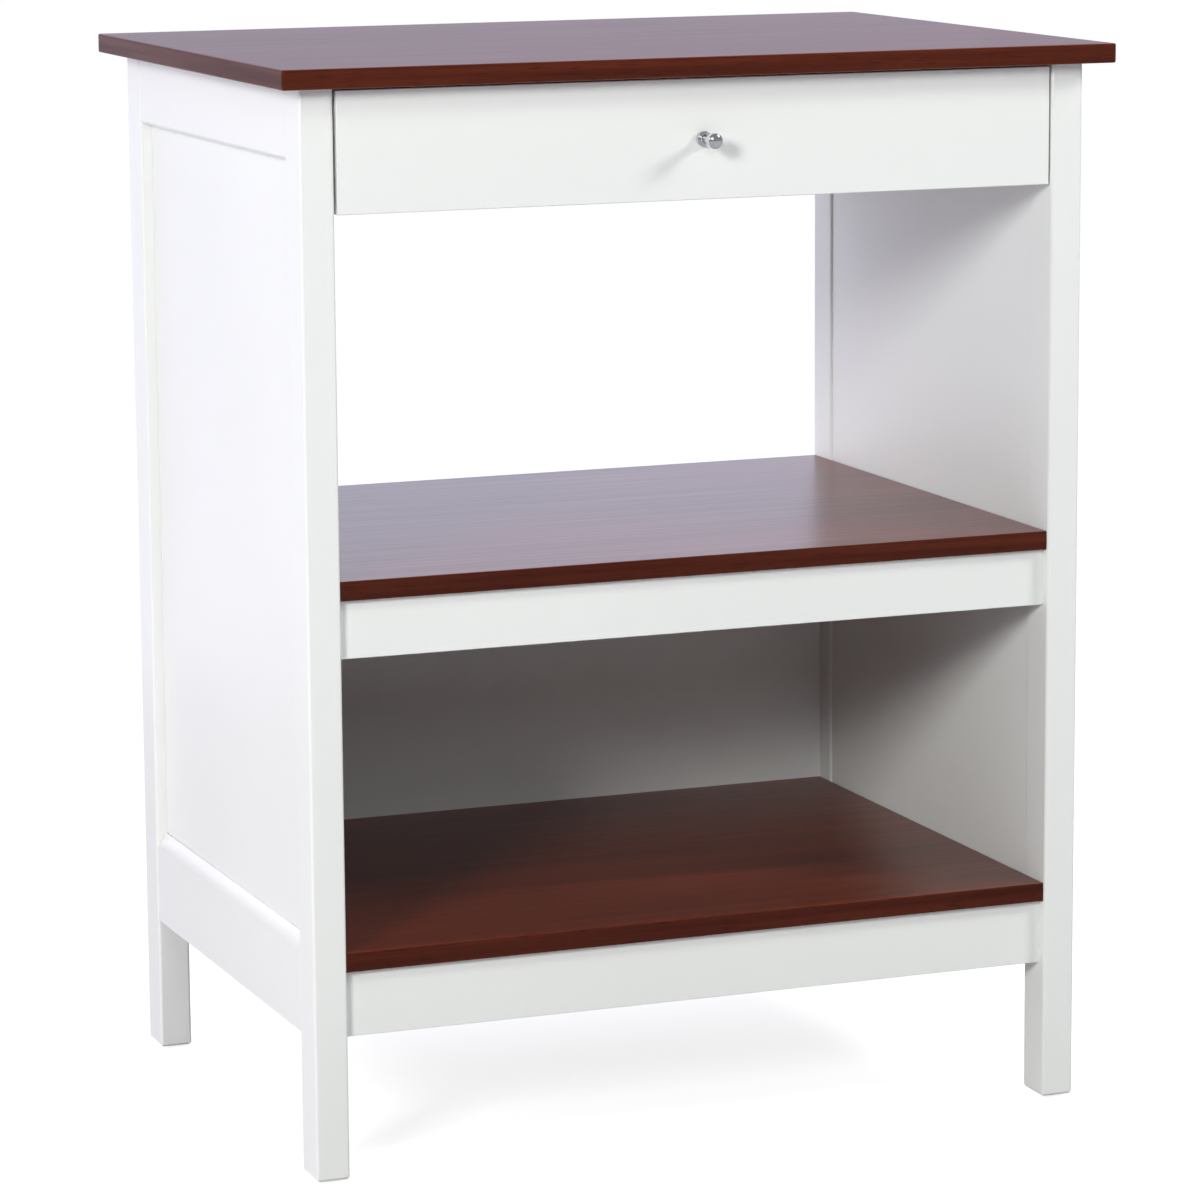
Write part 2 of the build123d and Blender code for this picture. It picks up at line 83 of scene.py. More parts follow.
noiseCore = (0.35, 0.65)  # most of a noise lies between these, so a colour pair is spread over them
noiseSpan = (0.3, 0.7)  # nearly all of it does, for a pair of roughnesses

# Melamine-faced board: a printed mahogany paper under satin resin. Long dark streaks run along the board,
# red-brown between them, and the resin mirrors the room at a low angle. The edge band is the same print on
# thin plastic: darker, with less gloss, and its streaks run along the edge.
mahogany = {
    "sheet": {"dark": "#522013", "middle": "#682B18", "light": "#80391F", "pore": "#38160D",
              "roughness": (0.28, 0.31), "gloss": 0.3},
    "band": {"dark": "#3B180F", "middle": "#4B2015", "light": "#5D2919", "pore": "#2C120B",
             "roughness": (0.36, 0.44), "gloss": 0.1},
    # marks of the print: width and length in mm, and the detail of the noise that draws them
    "streak": (7, 320, 6.0), "ribbon": (42, 900, 3.0),
    "pore": (0.9, 26, 1.0),  # real pores are 0.3 mm wide, drawn wider so that they show
    "ragged": 0.6, "ribbonShare": 0.42, "toneStops": (0.34, 0.5, 0.66),
    "poreRange": (0.60, 0.70), "poreStrength": 0.75,
    "wander": 5, "wanderLength": 260,  # how far the marks bend aside, and over what length, in mm
    "bump": 0.02, "bumpStrength": 0.25, "ior": 1.5,
}


def mahoganyPrint(name, tones):
    spec = mahogany
    material, tree = newMaterial(name)
    place = addNode(tree, "ShaderNodeTexCoord").outputs["UV"]
    wander = addNode(tree, "ShaderNodeTexNoise", {
        "Vector": place, "Scale": perMetre(spec["wanderLength"]), "Detail": 2.0})
    shift = addNode(tree, "ShaderNodeVectorMath", {
        0: wander.outputs["Color"], 1: (0, spec["wander"] * mm, 0)}, operation="MULTIPLY")
    bent = addNode(tree, "ShaderNodeVectorMath", {0: place, 1: shift.outputs[0]}, operation="ADD").outputs[0]
    marks = []
    for width, length, detail in (spec["streak"], spec["ribbon"], spec["pore"]):
        stretched = addNode(tree, "ShaderNodeMapping", {
            "Vector": bent, "Scale": (perMetre(length), perMetre(width), 1)})
        marks.append(addNode(tree, "ShaderNodeTexNoise", {
            "Vector": stretched.outputs[0], "Scale": 1.0, "Detail": detail,
            "Roughness": spec["ragged"]}).outputs["Fac"])
    streak, ribbon, pore = marks
    tone = addNode(tree, "ShaderNodeMix", {0: spec["ribbonShare"], 2: streak, 3: ribbon}).outputs[0]
    darkStop, middleStop, lightStop = spec["toneStops"]
    wood = addNode(tree, "ShaderNodeValToRGB", {0: tone}, stops=[
        (darkStop, tones["dark"]), (lightStop, tones["light"]), (middleStop, tones["middle"])]).outputs["Color"]
    pores = addNode(tree, "ShaderNodeMapRange", {
        "Value": pore, "From Min": spec["poreRange"][0], "From Max": spec["poreRange"][1],
        "To Max": spec["poreStrength"]}).outputs["Result"]
    colour = addNode(tree, "ShaderNodeMix", {
        0: pores, 6: wood, 7: hexColour(tones["pore"])}, data_type="RGBA").outputs[2]
    gloss = addNode(tree, "ShaderNodeMapRange", {
        "Value": streak, "From Min": noiseSpan[0], "From Max": noiseSpan[1],
        "To Min": tones["roughness"][1], "To Max": tones["roughness"][0]}).outputs["Result"]
    bump = addNode(tree, "ShaderNodeBump", {
        "Strength": spec["bumpStrength"], "Distance": spec["bump"] * mm, "Height": pores}, invert=True)
    shader = addNode(tree, "ShaderNodeBsdfPrincipled", {
        "Base Color": colour, "Roughness": gloss, "IOR": spec["ior"], "Specular IOR Level": tones["gloss"],
        "Normal": bump.outputs[0]})
    addNode(tree, "ShaderNodeOutputMaterial", {"Surface": shader.outputs[0]})
    return material


# Satin acrylic lacquer, sprayed white: a warm white film with a fine orange-peel skin. On the solid
# wood sticks a little of the grain still shows through the film, along the stick. Sizes are in mm.
lacquer = {
    "light": "#EBECE9", "dark": "#E9EAE7", "cloud": 240, "peelWidth": 3.5, "peelHeight": 0.012,
    "grainWidth": 1.6, "grainLength": 70, "grainHeight": 0.015, "roughness": (0.34, 0.42), "ior": 1.5,
}


def whiteLacquer(name, along):
    spec = lacquer
    material, tree = newMaterial(name)
    place = addNode(tree, "ShaderNodeTexCoord").outputs["Object"]
    cloud = addNode(tree, "ShaderNodeTexNoise", {
        "Vector": place, "Scale": perMetre(spec["cloud"]), "Detail": 2.0}).outputs["Fac"]
    colour = addNode(tree, "ShaderNodeValToRGB", {0: cloud}, stops=[
        (noiseCore[0], spec["dark"]), (noiseCore[1], spec["light"])]).outputs["Color"]
    peel = addNode(tree, "ShaderNodeTexNoise", {
        "Vector": place, "Scale": perMetre(spec["peelWidth"]), "Detail": 1.0}).outputs["Fac"]
    skin = addNode(tree, "ShaderNodeBump", {
        "Strength": 1.0, "Distance": spec["peelHeight"] * mm, "Height": peel}).outputs[0]
    if along:
        scale = [perMetre(spec["grainLength"] if axis == along else spec["grainWidth"]) for axis in "XYZ"]
        stretched = addNode(tree, "ShaderNodeMapping", {"Vector": place, "Scale": scale}).outputs[0]
        grain = addNode(tree, "ShaderNodeTexNoise", {
            "Vector": stretched, "Scale": 1.0, "Detail": 3.0}).outputs["Fac"]
        skin = addNode(tree, "ShaderNodeBump", {
            "Strength": 1.0, "Distance": spec["grainHeight"] * mm, "Height": grain,
            "Normal": skin}).outputs[0]
    gloss = addNode(tree, "ShaderNodeMapRange", {
        "Value": peel, "To Min": spec["roughness"][0], "To Max": spec["roughness"][1]}).outputs["Result"]
    shader = addNode(tree, "ShaderNodeBsdfPrincipled", {
        "Base Color": colour, "Roughness": gloss, "IOR": spec["ior"], "Normal": skin})
    addNode(tree, "ShaderNodeOutputMaterial", {"Surface": shader.outputs[0]})
    return material


# Everything else is one colour pair over a noise, with its own gloss and skin:
# name, dark, light, pattern size in mm along X Y Z, bump in mm, roughness pair, metallic
plainFinishes = {
    # white melamine paper pressed with a fine pearl grain: even, dull-satin
    "white_laminate": ("whiteMelaminePearl", "#DFDFDC", "#E4E4E1", (0.8, 0.8, 0.8), 0.006, (0.40, 0.48), 0),
    # planed pine, bare: yellow, with darker late-wood lines along the batten
    "pine": ("planedPine", "#C79A5E", "#E2C290", (4, 160, 3), 0.02, (0.55, 0.68), 0),
    # turned beech, bare: pinkish tan with short flecks
    "beech": ("turnedBeech", "#B98A5C", "#CFA678", (1.2, 1.2, 1.2), 0.01, (0.55, 0.65), 0),
    # epoxy powder baked on folded sheet steel: white with a fine orange peel
    "coated_steel": ("epoxyCoatedSheetSteel", "#E3E3DF", "#E9E9E5", (1.4, 1.4, 1.4), 0.015, (0.30, 0.40), 0),
    # bright zinc plate: bluish silver, a little cloudy
    "zinc_steel": ("brightZincPlatedSteel", "#B9BDC2", "#D2D5D8", (1.8, 1.8, 1.8), 0.004, (0.26, 0.38), 1),
    # chrome plate on a polished turned knob: a clear mirror with the faintest lathe haze
    "polished_chrome": ("polishedChromePlate", "#D3D5D7", "#DDDEE0", (6, 6, 6), 0.0, (0.05, 0.09), 1),
    # moulded nylon: waxy off-white
    "nylon": ("mouldedNylon", "#DEDCD2", "#E6E4DB", (2.5, 2.5, 2.5), 0.006, (0.42, 0.52), 0),
    # moulded polythene: white, dull and slightly soft at the edges
    "white_plastic": ("mouldedPolythene", "#DDDDD9", "#E5E5E2", (2, 2, 2), 0.006, (0.48, 0.58), 0),
}


def plainFinish(name, dark, light, size, height, roughness, metallic):
    material, tree = newMaterial(name)
    place = addNode(tree, "ShaderNodeTexCoord").outputs["Object"]
    stretched = addNode(tree, "ShaderNodeMapping", {
        "Vector": place, "Scale": [perMetre(width) for width in size]}).outputs[0]
    pattern = addNode(tree, "ShaderNodeTexNoise", {
        "Vector": stretched, "Scale": 1.0, "Detail": 3.0}).outputs["Fac"]
    colour = addNode(tree, "ShaderNodeValToRGB", {0: pattern}, stops=[
        (noiseCore[0], dark), (noiseCore[1], light)]).outputs["Color"]
    gloss = addNode(tree, "ShaderNodeMapRange", {
        "Value": pattern, "From Min": noiseSpan[0], "From Max": noiseSpan[1],
        "To Min": roughness[0], "To Max": roughness[1]}).outputs["Result"]
    skin = addNode(tree, "ShaderNodeBump", {
        "Strength": 1.0, "Distance": height * mm, "Height": pattern}).outputs[0]
    shader = addNode(tree, "ShaderNodeBsdfPrincipled", {
        "Base Color": colour, "Roughness": gloss, "Metallic": metallic, "Normal": skin})
    addNode(tree, "ShaderNodeOutputMaterial", {"Surface": shader.outputs[0]})
    return material


materials = {slot: plainFinish(*spec) for slot, spec in plainFinishes.items()}
materials["mahogany_laminate"] = mahoganyPrint("mahoganyPrintedMelamine", mahogany["sheet"])
edgeBand = mahoganyPrint("mahoganyPrintedEdgeBand", mahogany["band"])
materials["white_paint"] = whiteLacquer("sprayedLacquerOnBoard", None)
woodLacquer = {axis: whiteLacquer("sprayedLacquerOnWoodAlong" + axis, axis) for axis in "YZ"}
print("materials:", len(bpy.data.materials))

slotOf = {row["node"]: row["material_slot"] for row in frame["record"]["subparts"]}
bodyOf = {node: body for body, members in frame["record"]["behaviour"]["bodies"].items() for node in members}


def dress(piece, node, material=None):  # finish, body and the CAD node that the piece stands for
    piece.data.materials.clear()
    piece.data.materials.append(material or materials[slotOf[node]])
    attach(piece, bodyOf[node])
    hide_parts(node)


def plainMesh(piece):  # modifiers become the mesh itself
    shaped = bpy.data.meshes.new_from_object(piece.evaluated_get(bpy.context.evaluated_depsgraph_get()))
    piece.modifiers.clear()
    piece.data = shaped
    shaped.name = piece.name


# How a node's triangles become faces: points nearer than weld are one, faces flatter than flatAngle are one,
# an edge sharper than arrisAngle is an arris, and edges under sliver go (mm and degrees)
easing = {"weld": 0.001, "flatAngle": 0.5, "arrisAngle": 35, "sliver": 0.002}


def easedCopy(node, name, ease, segments, shortest):  # a node's own form with its arrises taken off
    solid = bmesh.new()
    solid.from_mesh(nodes[node].data)
    bmesh.ops.remove_doubles(solid, verts=solid.verts[:], dist=easing["weld"] * mm)
    bmesh.ops.dissolve_limit(
        solid, angle_limit=math.radians(easing["flatAngle"]), verts=solid.verts[:], edges=solid.edges[:])
    weight = solid.edges.layers.float.new("bevel_weight_edge")
    for edge in solid.edges:
        if len(edge.link_faces) == 2 and edge.calc_face_angle() > math.radians(easing["arrisAngle"]):
            eased = edge.calc_length() > shortest * mm  # the short ones are rims of holes, which stay crisp
            edge[weight], edge.smooth = (1.0, True) if eased else (0.0, False)
    mesh = bpy.data.meshes.new(name)
    solid.to_mesh(mesh)
    solid.free()
    piece = bpy.data.objects.new(name, mesh)
    scene.collection.objects.link(piece)
    mesh.polygons.foreach_set("use_smooth", [True] * len(mesh.polygons))
    bevel = piece.modifiers.new("arris", "BEVEL")
    bevel.width, bevel.segments, bevel.limit_method = ease * mm, segments, "WEIGHT"
    plainMesh(piece)
    solid = bmesh.new()  # the bevel leaves edges of no length
    solid.from_mesh(piece.data)
    bmesh.ops.dissolve_degenerate(solid, dist=easing["sliver"] * mm, edges=solid.edges[:])
    solid.to_mesh(piece.data)
    solid.free()
    flat = piece.modifiers.new("flatFaces", "WEIGHTED_NORMAL")
    flat.weight, flat.keep_sharp = 100, True
    plainMesh(piece)
    return piece


# Boards of printed melamine: where each one was cut from the sheet, so that no two look alike
melamineBoards = {"worktop": 0.0, "middle_shelf": 1.3, "lower_shelf": 2.9}
boardArris = (0.8, 3, 4)  # the arris in mm, the steps round it, and the shortest edge that gets one
printShift = {"side": 0.37, "across": 0.61}  # sets the bands' print apart from the face's


def grainMap(piece, offset):  # UV in metres, U along the grain: X on faces, along the band on the edges
    layer = piece.data.uv_layers.new(name="grain")
    for face in piece.data.polygons:
        side = max(range(3), key=lambda axis: abs(face.normal[axis]))
        first, second = ((1, 2), (0, 2), (0, 1))[side]
        for corner in face.loop_indices:
            point = piece.data.vertices[piece.data.loops[corner].vertex_index].co
            layer.data[corner].uv = (
                point[first] + offset + side * printShift["side"],
                point[second] + offset * printShift["across"])


for node, offset in melamineBoards.items():
    board = easedCopy(node, node + "_board", *boardArris)
    grainMap(board, offset)
    dress(board, node)
    board.data.materials.append(edgeBand)
    for face in board.data.polygons:
        face.material_index = 0 if abs(face.normal.z) > 0.5 else 1  # sheet above and below, band round it
print("melamine boards done")

# Painted pieces and the arris of each in mm; sticks of solid wood have their grain's direction
paintedPieces = {
    "front_left_post": (1.4, "Z"), "front_right_post": (1.4, "Z"),
    "rear_left_post": (1.4, "Z"), "rear_right_post": (1.4, "Z"),
    "left_side_panel": (0.5, None), "right_side_panel": (0.5, None),
    "left_top_rail": (0.6, "Y"), "right_top_rail": (0.6, "Y"),
    "left_bottom_rail": (0.6, "Y"), "right_bottom_rail": (0.6, "Y"),
    "rear_top_rail": (0.7, None), "back_panel": (0.7, None),
    "middle_apron": (0.8, None), "lower_apron": (0.8, None),
    "left_middle_cleat": (0.8, "Y"), "right_middle_cleat": (0.8, "Y"),
    "left_lower_cleat": (0.8, "Y"), "right_lower_cleat": (0.8, "Y"),
    "drawer_front": (0.5, None),
}
paintedArris = (3, 4)  # the steps round it, and the shortest edge in mm that gets one
for node, (ease, along) in paintedPieces.items():
    stick = easedCopy(node, node + "_painted", ease, *paintedArris)
    dress(stick, node, woodLacquer[along] if along else None)
print("painted pieces done:", len(paintedPieces))

# Bare and coated pieces: the arris of each in mm, the steps round it, and the shortest edge that gets one
otherPieces = {
    "left_runner_bearer": (0.7, 2, 4), "right_runner_bearer": (0.7, 2, 4),
    "left_drawer_side": (0.35, 2, 4), "right_drawer_side": (0.35, 2, 4),
    "drawer_back": (0.35, 2, 4), "drawer_bottom": (0.2, 2, 4),
    "left_cabinet_runner": (0.18, 2, 4), "right_cabinet_runner": (0.18, 2, 4),
    "left_drawer_runner": (0.18, 2, 4), "right_drawer_runner": (0.18, 2, 4), "worktop_brackets": (0.3, 2, 4),
    "front_left_roller": (0.35, 3, 0), "front_right_roller": (0.35, 3, 0),
    "rear_left_roller": (0.35, 3, 0), "rear_right_roller": (0.35, 3, 0), "knob": (0.3, 4, 0),
}
for node, arris in otherPieces.items():
    dress(easedCopy(node, node + "_eased", *arris), node)
print("bare and coated pieces done:", len(otherPieces))

# Fasteners: points nearer than weld are one, a point within rim of an end lies on it, ends that differ by
# less than alike are the same size (mm), edges over sharp stay crisp (degrees), and the turns' seed
fastening = {"weld": 0.001, "rim": 0.05, "alike": 0.1, "join": 0.004, "sharp": 32, "seed": 11}
joined = {"operation": "UNION", "solver": "MANIFOLD"}
cutAway = {"operation": "DIFFERENCE", "solver": "MANIFOLD"}
bothSides = 2.0  # a cutter is centred on the face that it cuts, so it is twice as deep as the cut


def seatsOf(node, axis):  # each piece of a group: the middle of its head's face and the way that it goes in
    group = bmesh.new()
    group.from_mesh(nodes[node].data)
    bmesh.ops.remove_doubles(group, verts=group.verts[:], dist=fastening["weld"] * mm)
    waiting = set(group.verts)
    seats = []
    while waiting:
        reached = [waiting.pop()]
        for vert in reached:
            near = {edge.other_vert(vert) for edge in vert.link_edges} & waiting
            waiting -= near
            reached.extend(near)
        points = [vert.co.copy() for vert in reached]
        low = Vector([min(point[i] for point in points) for i in range(3)])
        high = Vector([max(point[i] for point in points) for i in range(3)])
        middle = (low + high) / 2
        span = high - low
        along = "XYZ".index(axis) if axis else max(range(3), key=lambda i: span[i])
        ends = []
        for face in (low[along], high[along]):
            rim = [point for point in points if abs(point[along] - face) < fastening["rim"] * mm]
            ends.append(max(math.dist(point.to_tuple(), middle.to_tuple()) for point in rim))
        if abs(ends[0] - ends[1]) < fastening["alike"] * mm:
            first = abs(low[along]) < abs(high[along])  # both ends alike: the one nearer the cabinet's middle
        else:
            first = ends[0] > ends[1]
        seat = middle.copy()
        seat[along] = low[along] if first else high[along]
        way = Vector((0, 0, 0))
        way[along] = 1 if first else -1
        seats.append((seat, way))
    group.free()
    return sorted(seats, key=lambda row: row[0].to_tuple(5))


def newTree(name, sizes):  # a Geometry Nodes tree with a named input for every size
    tree = bpy.data.node_groups.new(name, "GeometryNodeTree")
    tree.interface.new_socket("Geometry", in_out="INPUT", socket_type="NodeSocketGeometry")
    for label in sizes:
        tree.interface.new_socket(label, in_out="INPUT", socket_type="NodeSocketFloat")
    tree.interface.new_socket("finish", in_out="INPUT", socket_type="NodeSocketMaterial")
    tree.interface.new_socket("Geometry", in_out="OUTPUT", socket_type="NodeSocketGeometry")
    return tree, addNode(tree, "NodeGroupInput").outputs


def standOnSeats(tree, given, shapes, spin):  # shapes made one, on every seat, turned by up to spin
    shape = addNode(tree, "GeometryNodeMeshBoolean", {"Mesh 2": shapes}, **joined).outputs["Mesh"]
    shape = addNode(tree, "GeometryNodeMergeByDistance", {
        "Geometry": shape, "Distance": fastening["join"] * mm}).outputs[0]
    aim = addNode(tree, "GeometryNodeInputNamedAttribute", {
        "Name": "aim"}, data_type="FLOAT_VECTOR").outputs[0]
    facing = addNode(tree, "FunctionNodeAlignRotationToVector", {"Vector": aim}, axis="Z").outputs[0]
    angle = addNode(tree, "FunctionNodeRandomValue", {
        2: 0.0, 3: spin, "Seed": fastening["seed"]}, data_type="FLOAT").outputs[1]
    turn = addNode(tree, "FunctionNodeAxisAngleToRotation", {"Axis": (0, 0, 1), "Angle": angle}).outputs[0]
    facing = addNode(tree, "FunctionNodeRotateRotation", {
        0: facing, 1: turn}, rotation_space="LOCAL").outputs[0]
    stood = addNode(tree, "GeometryNodeInstanceOnPoints", {
        "Points": given["Geometry"], "Instance": shape, "Rotation": facing}).outputs[0]
    real = addNode(tree, "GeometryNodeRealizeInstances", {0: stood}).outputs[0]
    done = addNode(tree, "GeometryNodeSetMaterial", {
        "Geometry": real, "Material": given["finish"]}).outputs[0]
    addNode(tree, "NodeGroupOutput", {0: done})


def fastenGroup(node, name, tree, sizes, axis=None):  # a tree's shape on the seats of a node, as a plain mesh
    seats = seatsOf(node, axis)
    mesh = bpy.data.meshes.new(name)
    mesh.from_pydata([seat for seat, way in seats], [], [])
    aim = mesh.attributes.new("aim", "FLOAT_VECTOR", "POINT")
    aim.data.foreach_set("vector", [part for seat, way in seats for part in way])
    piece = bpy.data.objects.new(name, mesh)
    scene.collection.objects.link(piece)
    modifier = piece.modifiers.new("fasteners", "NODES")
    modifier.node_group = tree
    for socket in tree.interface.items_tree:
        if socket.in_out == "INPUT" and socket.name in sizes:
            modifier[socket.identifier] = sizes[socket.name] * mm
        elif socket.in_out == "INPUT" and socket.name == "finish":
            modifier[socket.identifier] = materials[slotOf[node]]
    plainMesh(piece)
    shell = piece.data
    shell.polygons.foreach_set("use_smooth", [True] * len(shell.polygons))
    shell.set_sharp_from_angle(angle=math.radians(fastening["sharp"]))
    dress(piece, node)


# Wood screws: a countersunk or round head with a cross recess, a tapered core and a rolled thread
screwSizes = {
    "countersunk": {
        "headRadius": 3.5, "underRadius": 1.75, "headThickness": 1.75, "coreRadius": 1.25, "tipRadius": 0.4,
        "threadRadius": 1.35, "threadHeight": 0.4, "pitch": 1.6,
        "slotLength": 4.2, "slotWidth": 0.9, "slotDepth": 1.4},
    "roundHead": {
        "headRadius": 4.0, "underRadius": 3.4, "headThickness": 2.6, "coreRadius": 1.7, "tipRadius": 1.6,
        "threadRadius": 1.75, "threadHeight": 0.25, "pitch": 0.7,
        "slotLength": 4.8, "slotWidth": 1.1, "slotDepth": 1.7},
}
screwLengths = {
    "back_panel_screws": 45, "bearer_screws": 33, "bracket_screws": 14, "cabinet_runner_screws": 12,
    "cleat_screws": 25, "drawer_back_screws": 30, "drawer_runner_screws": 12, "knob_screw": 27.6,
}
screwSides = {"head": 40, "core": 20, "turn": 14, "ridge": 3}
screwSpin = 1.57  # radians: each screw was driven to a turn of its own, within a quarter
tree, given = newTree("crossRecessScrews", [*screwSizes["countersunk"], "length"])
head = addNode(tree, "GeometryNodeMeshCone", {
    "Vertices": screwSides["head"], "Radius Bottom": given["headRadius"], "Radius Top": given["underRadius"],
    "Depth": given["headThickness"]}).outputs["Mesh"]
deep = addNode(tree, "ShaderNodeMath", {0: given["slotDepth"], 1: bothSides}, operation="MULTIPLY").outputs[0]
slots = []
for long, wide in (("slotLength", "slotWidth"), ("slotWidth", "slotLength")):
    size = addNode(tree, "ShaderNodeCombineXYZ", {0: given[long], 1: given[wide], 2: deep}).outputs[0]
    slots.append(addNode(tree, "GeometryNodeMeshCube", {"Size": size}).outputs["Mesh"])
cross = addNode(tree, "GeometryNodeMeshBoolean", {"Mesh 2": slots}, **joined).outputs["Mesh"]
head = addNode(tree, "GeometryNodeMeshBoolean", {"Mesh 1": head, "Mesh 2": [cross]}, **cutAway).outputs["Mesh"]
shank = addNode(tree, "ShaderNodeMath", {
    0: given["length"], 1: given["headThickness"]}, operation="SUBTRACT").outputs[0]
down = addNode(tree, "ShaderNodeCombineXYZ", {2: given["headThickness"]}).outputs[0]
core = addNode(tree, "GeometryNodeMeshCone", {
    "Vertices": screwSides["core"], "Radius Bottom": given["coreRadius"], "Radius Top": given["tipRadius"],
    "Depth": shank}).outputs["Mesh"]
turns = addNode(tree, "ShaderNodeMath", {0: shank, 1: given["pitch"]}, operation="DIVIDE").outputs[0]
helix = addNode(tree, "GeometryNodeCurveSpiral", {
    "Resolution": screwSides["turn"], "Rotations": turns, "Start Radius": given["threadRadius"],
    "End Radius": given["tipRadius"], "Height": shank}).outputs["Curve"]
ridge = addNode(tree, "GeometryNodeCurvePrimitiveCircle", {
    "Resolution": screwSides["ridge"], "Radius": given["threadHeight"]}).outputs["Curve"]
thread = addNode(tree, "GeometryNodeCurveToMesh", {
    "Curve": helix, "Profile Curve": ridge, "Fill Caps": True}).outputs[0]
thread = addNode(tree, "GeometryNodeFlipFaces", {0: thread}).outputs[0]  # the sweep comes out inside out
below = [addNode(tree, "GeometryNodeTransform", {
    "Geometry": part, "Translation": down}).outputs[0] for part in (core, thread)]
standOnSeats(tree, given, [head, *below], screwSpin)
for node, length in screwLengths.items():
    kind = "roundHead" if node == "knob_screw" else "countersunk"
    fastenGroup(node, node + "_threaded", tree, {**screwSizes[kind], "length": length})
print("screws done")

# Cam nuts: die-cast drums with a raised rim, a cross slot and a bore for the bolt
camSizes = {
    "cam_nuts": {
        "radius": 7.5, "depth": 12.5, "rim": 6.3, "sink": 0.7,
        "slotLength": 8.5, "slotWidth": 1.7, "slotDepth": 2.8, "bore": 3.1},
    "drawer_cam_nuts": {
        "radius": 6.0, "depth": 9.5, "rim": 5.0, "sink": 0.6,
        "slotLength": 6.8, "slotWidth": 1.5, "slotDepth": 2.2, "bore": 3.1},
}
camAxes = {"cam_nuts": "Y", "drawer_cam_nuts": "X"}
camSides = {"drum": 56, "bore": 28}
# the bolt's bore, and one across it, turned and sized a little apart so that the two share no face
camBores = (((math.pi / 2, 0, 0.1), 1.0), ((0, math.pi / 2, 0), 0.93))
boreReach = 3.0  # radii, from side to side and well through
tree, given = newTree("crossSlotCams", camSizes["cam_nuts"])
half = addNode(tree, "ShaderNodeMath", {0: given["depth"], 1: 0.5}, operation="MULTIPLY").outputs[0]
down = addNode(tree, "ShaderNodeCombineXYZ", {2: half}).outputs[0]
drum = addNode(tree, "GeometryNodeMeshCylinder", {
    "Vertices": camSides["drum"], "Radius": given["radius"], "Depth": given["depth"]}).outputs["Mesh"]
drum = addNode(tree, "GeometryNodeTransform", {"Geometry": drum, "Translation": down}).outputs[0]
thick = addNode(tree, "ShaderNodeMath", {0: given["sink"], 1: bothSides}, operation="MULTIPLY").outputs[0]
dish = addNode(tree, "GeometryNodeMeshCylinder", {
    "Vertices": camSides["drum"], "Radius": given["rim"], "Depth": thick}).outputs["Mesh"]
deep = addNode(tree, "ShaderNodeMath", {0: given["slotDepth"], 1: bothSides}, operation="MULTIPLY").outputs[0]
cutters = [dish]
for long, wide in (("slotLength", "slotWidth"), ("slotWidth", "slotLength")):
    size = addNode(tree, "ShaderNodeCombineXYZ", {0: given[long], 1: given[wide], 2: deep}).outputs[0]
    cutters.append(addNode(tree, "GeometryNodeMeshCube", {"Size": size}).outputs["Mesh"])
reach = addNode(tree, "ShaderNodeMath", {0: given["radius"], 1: boreReach}, operation="MULTIPLY").outputs[0]
for turn, share in camBores:
    radius = addNode(tree, "ShaderNodeMath", {0: given["bore"], 1: share}, operation="MULTIPLY").outputs[0]
    bore = addNode(tree, "GeometryNodeMeshCylinder", {
        "Vertices": camSides["bore"], "Radius": radius, "Depth": reach}).outputs["Mesh"]
    cutters.append(addNode(tree, "GeometryNodeTransform", {
        "Geometry": bore, "Rotation": turn, "Translation": down}).outputs[0])
cutter = addNode(tree, "GeometryNodeMeshBoolean", {"Mesh 2": cutters}, **joined).outputs["Mesh"]
drum = addNode(tree, "GeometryNodeMeshBoolean", {"Mesh 1": drum, "Mesh 2": [cutter]}, **cutAway).outputs["Mesh"]
standOnSeats(tree, given, [drum], 0.0)
for node, sizes in camSizes.items():
    fastenGroup(node, node + "_cast", tree, sizes, camAxes[node])
print("cam nuts done")

# Rivets that the rollers turn on: a low domed head, a shank, a shoulder and the end through the sheet
rivetSizes = {
    "headRadius": 4.25, "headHeight": 0.8, "shankRadius": 2.5, "shankStart": 0.5, "shoulderRadius": 4.0,
    "shoulderStart": 7.6, "shoulderEnd": 9.3, "length": 10.5,
}
rivetSides = {"round": 40, "rings": 20}
rivetBlock = 20  # mm, the block that takes away the lower half of the dome
tree, given = newTree("domedRivets", rivetSizes)
dome = addNode(tree, "GeometryNodeMeshUVSphere", {
    "Segments": rivetSides["round"], "Rings": rivetSides["rings"], "Radius": 1.0}).outputs["Mesh"]
size = addNode(tree, "ShaderNodeCombineXYZ", {
    0: given["headRadius"], 1: given["headRadius"], 2: given["headHeight"]}).outputs[0]
base = addNode(tree, "ShaderNodeCombineXYZ", {2: given["headHeight"]}).outputs[0]
dome = addNode(tree, "GeometryNodeTransform", {
    "Geometry": dome, "Translation": base, "Scale": size}).outputs[0]
under = addNode(tree, "GeometryNodeMeshCube", {"Size": [rivetBlock * mm] * 3}).outputs["Mesh"]
lower = addNode(tree, "ShaderNodeMath", {
    0: given["headHeight"], 1: rivetBlock / 2 * mm}, operation="ADD").outputs[0]
place = addNode(tree, "ShaderNodeCombineXYZ", {2: lower}).outputs[0]
under = addNode(tree, "GeometryNodeTransform", {"Geometry": under, "Translation": place}).outputs[0]
dome = addNode(tree, "GeometryNodeMeshBoolean", {"Mesh 1": dome, "Mesh 2": [under]}, **cutAway).outputs["Mesh"]
parts = [dome]
